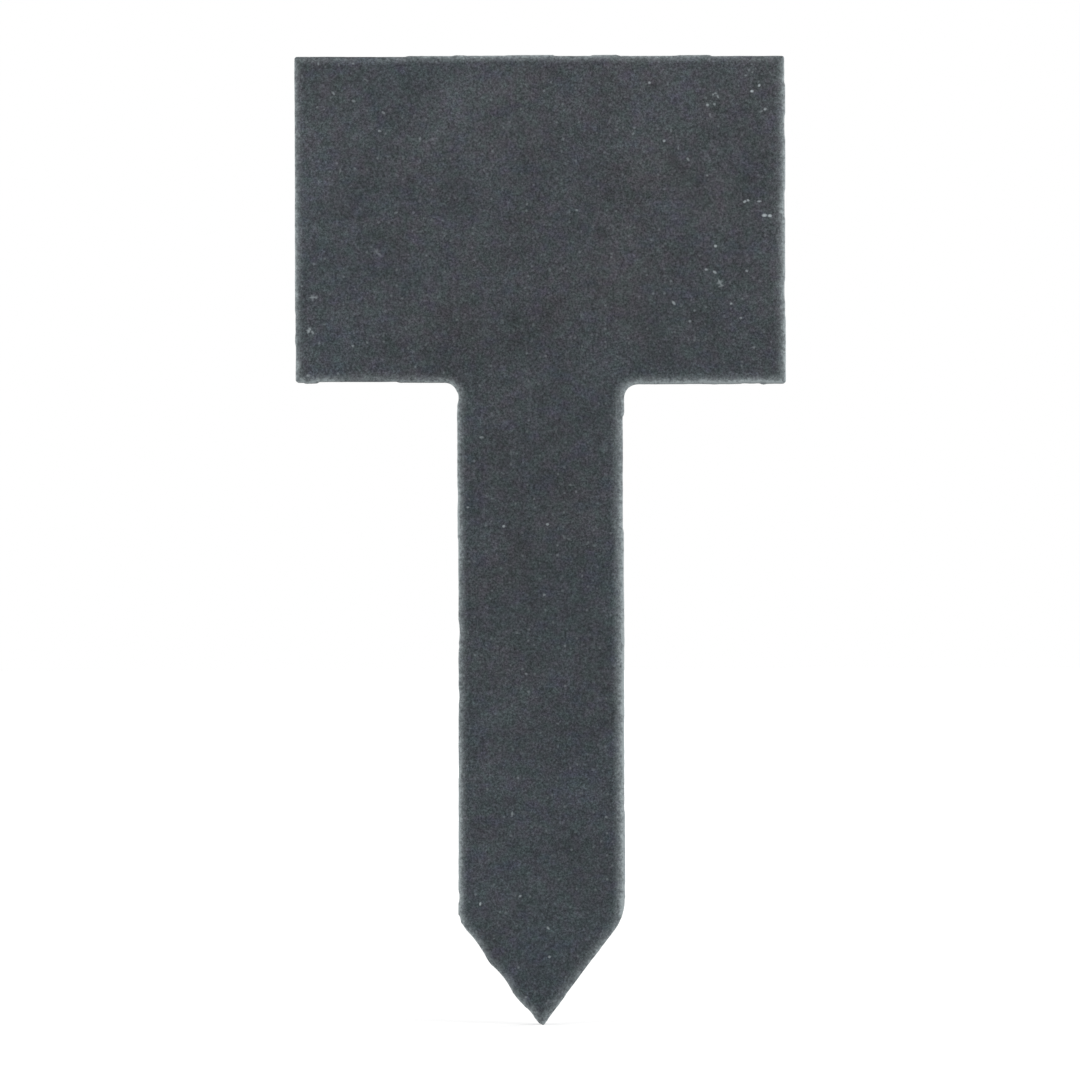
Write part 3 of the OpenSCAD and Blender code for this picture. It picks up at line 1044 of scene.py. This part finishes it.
class Nodes:
    """Short calls for a material's nodes."""

    def __init__(self, tree):
        self.tree = tree
        tree.nodes.clear()

    def add(self, kind, inputs=(), **settings):
        """Adds a node with its settings, and sets or links its inputs, given by name or number."""
        node = self.tree.nodes.new(kind)
        for key, value in settings.items():
            setattr(node, key, value)
        for key, value in dict(inputs).items():
            if isinstance(value, bpy.types.NodeSocket):
                self.tree.links.new(value, node.inputs[key])
            else:
                node.inputs[key].default_value = value
        return node

    def math(self, operation, a, b=0.0, c=0.0):
        pairs = ((0, a), (1, b), (2, c))
        used = pairs if operation == "MULTIPLY_ADD" else pairs[:2]
        return self.add("ShaderNodeMath", used, operation=operation).outputs[0]

    def noise(self, vector, scale, detail=2.0, roughness=0.5):
        pairs = {"Vector": vector, "Scale": scale, "Detail": detail, "Roughness": roughness}
        return self.add("ShaderNodeTexNoise", pairs).outputs["Fac"]

    def ramp(self, value, low, high, to_low=0.0, to_high=1.0):
        pairs = {"Value": value, "From Min": low, "From Max": high, "To Min": to_low, "To Max": to_high}
        return self.add("ShaderNodeMapRange", pairs).outputs["Result"]

    def mix(self, share, a, b, blend="MIX"):
        node = self.add("ShaderNodeMix", data_type="RGBA", blend_type=blend)
        for socket, value in ((node.inputs[0], share), (node.inputs[6], a), (node.inputs[7], b)):
            if isinstance(value, bpy.types.NodeSocket):
                self.tree.links.new(value, socket)
            elif socket == node.inputs[0]:
                socket.default_value = value
            else:
                socket.default_value = (*value, 1.0)
        return node.outputs[2]

    def times(self, colour, other):
        return self.mix(1.0, colour, other, "MULTIPLY")

    def grey(self, value):
        channels = {"Red": value, "Green": value, "Blue": value}
        return self.add("ShaderNodeCombineColor", channels).outputs[0]

    def attribute(self, name):
        return self.add("ShaderNodeAttribute", attribute_name=name).outputs["Fac"]

    def stretched(self, vector, turn, scale):
        pairs = {"Vector": vector, "Rotation": turn, "Scale": scale}
        return self.add("ShaderNodeMapping", pairs).outputs["Vector"]


def scaled(colour, factor):
    return tuple(channel * factor for channel in colour)


def felt_grain(nodes, mm, finish):
    """The felt-like grain of the riven slate, and the tone from dark to light that it gives."""
    per_mm = MM / finish.grain_size
    grain = nodes.noise(mm, per_mm, 2.5, 0.62)
    fine = nodes.noise(mm, per_mm * 2.3, 1.0, 0.5)
    felt = nodes.math("MULTIPLY_ADD", fine, 0.35, nodes.math("MULTIPLY", grain, 0.65))
    spread = 0.21 / finish.grain_contrast
    tone = nodes.math("POWER", nodes.ramp(felt, 0.5 - spread, 0.5 + 1.3 * spread), 1.5)
    return felt, tone


def clouded(nodes, mm, colour):
    """Slow clouds, small blooms, and the patches that have a place of their own."""
    cloud = nodes.ramp(nodes.noise(mm, 0.16, 4.0, 0.65), 0.3, 0.7, 0.81, 1.16)
    bloom = nodes.ramp(nodes.noise(mm, 0.8, 3.0, 0.6), 0.58, 0.80, 1.0, 1.4)
    shade = nodes.math("MULTIPLY", cloud, nodes.math("ADD", nodes.attribute("tone"), bloom))
    return nodes.times(colour, nodes.grey(shade))


def drifting(nodes, mm, colour):
    """Slow drifts from cool to warm and from violet to green, and blue patches."""
    drift = nodes.ramp(nodes.noise(mm, 0.11, 2.0, 0.5), 0.35, 0.65, 0.27, 0.73)
    warm = nodes.math("MULTIPLY_ADD", nodes.attribute("warm"), 0.5, drift)
    colour = nodes.times(colour, nodes.mix(warm, COOL_TINT, WARM_TINT))
    green = nodes.ramp(nodes.noise(mm, 0.5, 2.0, 0.6), 0.35, 0.65)
    colour = nodes.times(colour, nodes.mix(green, VIOLET_TINT, GREEN_TINT))
    upright = nodes.stretched(mm, (0, 0, 0), (0.30, 0.30, 0.48))
    blue = nodes.ramp(nodes.noise(upright, 1.0, 2.0, 0.6), 0.52, 0.68)
    return nodes.mix(nodes.math("MULTIPLY", blue, 0.65), colour, nodes.times(colour, BLUE_TINT))


def clefts_and_specks(nodes, mm, finish, colour):
    """Faint dark clefts on a slant, and rare pale specks too small to be chips."""
    slant = nodes.stretched(mm, (0, math.radians(52), 0), (0.09, 1.0, 0.9))
    cleft = nodes.ramp(nodes.noise(slant, 1.0, 2.0, 0.5), 0.62, 0.74, 0.0, 0.22)
    colour = nodes.mix(cleft, colour, scaled(finish.slate_colour, 0.6))
    speck = nodes.add("ShaderNodeTexVoronoi", {"Vector": mm, "Scale": 1.1})
    near = nodes.ramp(speck.outputs["Distance"], 0.09, 0.31, 1.0, 0.0)
    rare = nodes.ramp(speck.outputs["Color"], 0.60, 0.72)
    specks = nodes.math("MULTIPLY", nodes.math("MULTIPLY", near, rare), 0.20)
    return nodes.mix(specks, colour, tuple(finish.fleck_colour))


def rubbed_and_highlight_over(nodes, mm, finish, colour, tone):
    """Powdery pale slate where the easing is rubbed, with painted highlight where the arris catches the
    light, and a little of it on fresh flakes.
    """
    broken = nodes.ramp(nodes.noise(mm, 1.6, 3.0, 0.6), 0.25, 0.75, 0.25, 1.75)
    powdery = nodes.ramp(tone, 0.0, 0.7, 0.6, 1.55)
    rubbed_and_highlight = nodes.math("MULTIPLY_ADD", nodes.attribute("fresh"), 0.12, nodes.attribute("worn_and_highlight"))
    worn_and_highlight = nodes.math("MULTIPLY", nodes.math("MULTIPLY", rubbed_and_highlight, broken), powdery)
    return nodes.mix(nodes.math("MINIMUM", worn_and_highlight, 1.0), colour, tuple(finish.rubbed_and_highlight_colour))


def sawn_edge(nodes, mm, finish, tone):
    """The beds and laminae that the saw laid open, under its dust: their height and their colour."""
    beds = nodes.noise(nodes.stretched(mm, (0, 0, 0), (0.1, 5.5, 0.1)), 1.0, 3.0, 0.6)
    laminae = nodes.noise(nodes.stretched(mm, (0, 0, 0), (0.45, 13.0, 0.45)), 1.0, 2.0, 0.6)
    both = nodes.math("MULTIPLY_ADD", laminae, 0.5, nodes.math("MULTIPLY", beds, 0.5))
    layers = nodes.ramp(both, 0.36, 0.64)
    colour = nodes.mix(layers, scaled(finish.sawn_colour, 0.60), scaled(finish.sawn_colour, 1.30))
    dusty = nodes.ramp(nodes.noise(mm, 0.45, 4.0, 0.65), 0.3, 0.7, 0.78, 1.22)
    dust = nodes.math("MULTIPLY", dusty, nodes.ramp(tone, 0.0, 0.7, 0.70, 1.55))
    return layers, nodes.times(colour, nodes.grey(dust))


def slate_material(finish):
    """Riven slate: fine felt-like grain, slow clouds, faint clefts, pale rubbed parts with painted arris
    highlight, and sawn parts.
    """
    material = bpy.data.materials.new("riven_slate")
    material.use_nodes = True
    nodes = Nodes(material.node_tree)
    place = nodes.add("ShaderNodeTexCoord").outputs["Object"]
    mm = nodes.stretched(place, (0, 0, 0), (1 / MM,) * 3)

    felt, tone = felt_grain(nodes, mm, finish)
    colour = nodes.mix(tone, scaled(finish.slate_colour, 0.35), scaled(finish.slate_colour, 2.82))
    colour = drifting(nodes, mm, clouded(nodes, mm, colour))
    colour = clefts_and_specks(nodes, mm, finish, colour)
    colour = rubbed_and_highlight_over(nodes, mm, finish, colour, tone)
    sawn = nodes.attribute("sawn")
    layers, edge_colour = sawn_edge(nodes, mm, finish, tone)
    colour = nodes.mix(sawn, colour, edge_colour)
    chip = nodes.math("MULTIPLY", nodes.attribute("chip"), nodes.ramp(felt, 0.3, 0.6, 0.66, 1.02))
    colour = nodes.mix(nodes.math("MINIMUM", chip, 1.0), colour, tuple(finish.fleck_colour))

    height = nodes.math("ADD", felt, nodes.math("MULTIPLY", layers, sawn))
    bump = nodes.add("ShaderNodeBump", {"Strength": 0.55, "Distance": 0.00005, "Height": height})
    surface = nodes.add("ShaderNodeBsdfPrincipled", {
        "Base Color": colour,
        "Roughness": nodes.ramp(felt, 0.3, 0.7, 0.66, 0.8),
        "Specular IOR Level": 0.12,
        "Normal": bump.outputs["Normal"],
    })
    nodes.add("ShaderNodeOutputMaterial", {"Surface": surface.outputs["BSDF"]})
    return material


def seen_directly(nodes):
    """1 for rays that meet a surface straight from the camera, in a mirror or through glass."""
    path = nodes.add("ShaderNodeLightPath").outputs
    mirrored = nodes.math("MAXIMUM", path["Is Camera Ray"], path["Is Glossy Ray"])
    return nodes.math("MAXIMUM", mirrored, path["Is Transmission Ray"])


def shown_and_lighting(nodes, lighting, shown):
    """One shader for what the camera sees, and another for the light that reaches the slate."""
    shaders = {0: seen_directly(nodes), 1: lighting.outputs[0], 2: shown.outputs[0]}
    return nodes.add("ShaderNodeMixShader", shaders).outputs[0]


def floor_material():
    """White paper that keeps a soft shadow by the label and runs out into the white room."""
    material = bpy.data.materials.new("white_paper")
    material.use_nodes = True
    nodes = Nodes(material.node_tree)
    place = nodes.add("ShaderNodeTexCoord").outputs["Object"]
    away = nodes.add("ShaderNodeVectorMath", {0: place}, operation="LENGTH").outputs["Value"]
    white_from, white_to = 0.25, 0.9
    glow = nodes.add("ShaderNodeEmission", {
        "Color": (1, 1, 1, 1), "Strength": nodes.ramp(away, white_from, white_to, 0.50, 1.0)})
    shown_paper = nodes.add("ShaderNodeBsdfDiffuse", {"Color": (0.52, 0.52, 0.52, 1)})
    paper = nodes.add("ShaderNodeBsdfDiffuse", {"Color": (0.6, 0.6, 0.6, 1)})
    shown = nodes.add("ShaderNodeAddShader", {0: glow.outputs[0], 1: shown_paper.outputs[0]})
    nodes.add("ShaderNodeOutputMaterial", {"Surface": shown_and_lighting(nodes, paper, shown)})
    return material


def make_floor(half=3.0):
    corners = [(-half, -half), (half, -half), (half, half), (-half, half)]
    mesh = bpy.data.meshes.new("floor")
    mesh.from_pydata([(x, y, LOW.z) for x, y in corners], [], [(0, 1, 2, 3)])
    floor = bpy.data.objects.new("floor", mesh)
    bpy.context.collection.objects.link(floor)
    mesh.materials.append(floor_material())
    return floor


def make_world(ambient):
    world = bpy.data.worlds.new("white_room")
    bpy.context.scene.world = world
    world.use_nodes = True
    nodes = Nodes(world.node_tree)
    light = nodes.add("ShaderNodeBackground", {"Color": (1, 1, 1, 1), "Strength": ambient})
    white = nodes.add("ShaderNodeBackground", {"Color": (1, 1, 1, 1), "Strength": 1.0})
    nodes.add("ShaderNodeOutputWorld", {"Surface": shown_and_lighting(nodes, light, white)})


def make_softbox(name, azimuth, elevation, share, distance=1.2, side=0.7):
    """A square softbox. Azimuth is counted from straight in front of the writing face, to its right.
    The share is what a white wall square to the lamp would send back of plain white."""
    middle = Vector((0, 0, HIGH.z / 2))
    a, e = math.radians(azimuth), math.radians(elevation)
    way = Vector((math.sin(a) * math.cos(e), -math.cos(a) * math.cos(e), math.sin(e)))
    lamp = bpy.data.lights.new(name, "AREA")
    lamp.shape = "SQUARE"
    lamp.size = side
    lamp.energy = share * math.pi**2 * distance**2
    box = bpy.data.objects.new(name, lamp)
    box.location = middle + way * distance
    box.rotation_euler = way.to_track_quat("Z", "Y").to_euler()
    bpy.context.collection.objects.link(box)
    return box


def make_camera(stage):
    camera = bpy.data.objects.new("camera", bpy.data.cameras.new("camera"))
    camera.data.sensor_width = 36.0
    camera.data.lens = camera.data.sensor_width * stage.camera_distance / stage.shown_width
    camera.location = (stage.aim_across, LOW.y - stage.camera_distance, stage.aim_height)
    camera.rotation_euler = (math.pi / 2, stage.camera_roll, 0)
    camera.data.clip_end = 20.0
    bpy.context.collection.objects.link(camera)
    bpy.context.scene.camera = camera


class PLANTLABEL_OT_slab(bpy.types.Operator):
    """Make the slate slab in place of its plain solid"""

    bl_idname = "plantlabel.slab"
    bl_label = "Slate Slab"

    def execute(self, context):
        sizes = context.scene.label_sizes
        finish = context.scene.slate_finish
        piece = bpy.data.objects.new("slate_slab", Slab(sizes, finish).mesh("slate_slab"))
        context.collection.objects.link(piece)
        piece.data.materials.append(slate_material(finish))
        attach(piece, "root")
        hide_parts("slate_label")
        return {"FINISHED"}


class PLANTLABEL_OT_stage(bpy.types.Operator):
    """Make the floor, the light and the camera"""

    bl_idname = "plantlabel.stage"
    bl_label = "Stage"

    def execute(self, context):
        stage = context.scene.label_stage
        make_floor()
        make_world(stage.ambient)
        for name, azimuth, elevation, share in SOFTBOXES:
            make_softbox(name, azimuth, elevation, share)
        make_camera(stage)
        context.scene.view_settings.view_transform = "Standard"
        return {"FINISHED"}


class PLANTLABEL_PT_panel(bpy.types.Panel):
    """Sizes, finish and stage of the plant label"""

    bl_label = "Plant Label"
    bl_idname = "PLANTLABEL_PT_panel"
    bl_space_type = "VIEW_3D"
    bl_region_type = "UI"
    bl_category = "Plant Label"

    def draw(self, context):
        layout = self.layout
        scene = context.scene
        for title, group, operator in (
            ("Sizes", scene.label_sizes, None),
            ("Finish", scene.slate_finish, PLANTLABEL_OT_slab),
            ("Stage", scene.label_stage, PLANTLABEL_OT_stage),
        ):
            box = layout.box()
            box.label(text=title)
            for key in group.__annotations__:
                box.prop(group, key)
            if operator:
                box.operator(operator.bl_idname)


CLASSES = (
    LabelSizes,
    SlateFinish,
    StageSettings,
    PLANTLABEL_OT_slab,
    PLANTLABEL_OT_stage,
    PLANTLABEL_PT_panel,
)


def register():
    for cls in CLASSES:
        bpy.utils.register_class(cls)
    bpy.types.Scene.label_sizes = PointerProperty(type=LabelSizes)
    bpy.types.Scene.slate_finish = PointerProperty(type=SlateFinish)
    bpy.types.Scene.label_stage = PointerProperty(type=StageSettings)


def unregister():
    del bpy.types.Scene.label_stage
    del bpy.types.Scene.slate_finish
    del bpy.types.Scene.label_sizes
    for cls in reversed(CLASSES):
        bpy.utils.unregister_class(cls)


def main():
    register()
    bpy.ops.plantlabel.slab()
    bpy.ops.plantlabel.stage()


if __name__ == "__main__":
    main()
